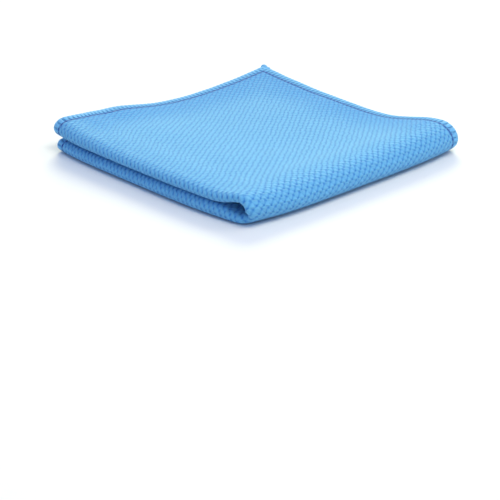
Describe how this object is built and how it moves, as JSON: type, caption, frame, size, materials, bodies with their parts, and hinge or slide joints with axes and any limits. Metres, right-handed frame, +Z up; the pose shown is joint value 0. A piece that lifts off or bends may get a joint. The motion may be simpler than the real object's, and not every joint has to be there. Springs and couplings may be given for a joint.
{
  "type": "folded microfibre cloth",
  "caption": "Square microfibre cleaning cloth with an overlocked edge, folded in half and in half again into a soft quarter that lies flat, for wiping, drying and dusting.",
  "frame": {"origin": "centre of the folded cloth's footprint box, on the surface it lies on", "axes": "+Z up through the four layers. The first fold's rolls lie along the -Y side and the second fold along the +X side, so the hems lie together along the -X and +Y sides"},
  "size_m": [0.1542, 0.157, 0.0166],
  "materials": {
    "cloth": "soft matt microfibre knit in sky blue, with a fine diamond pattern"
  },
  "bodies": {
    "root": {"cloth": "cloth"}
  },
  "joints": []
}
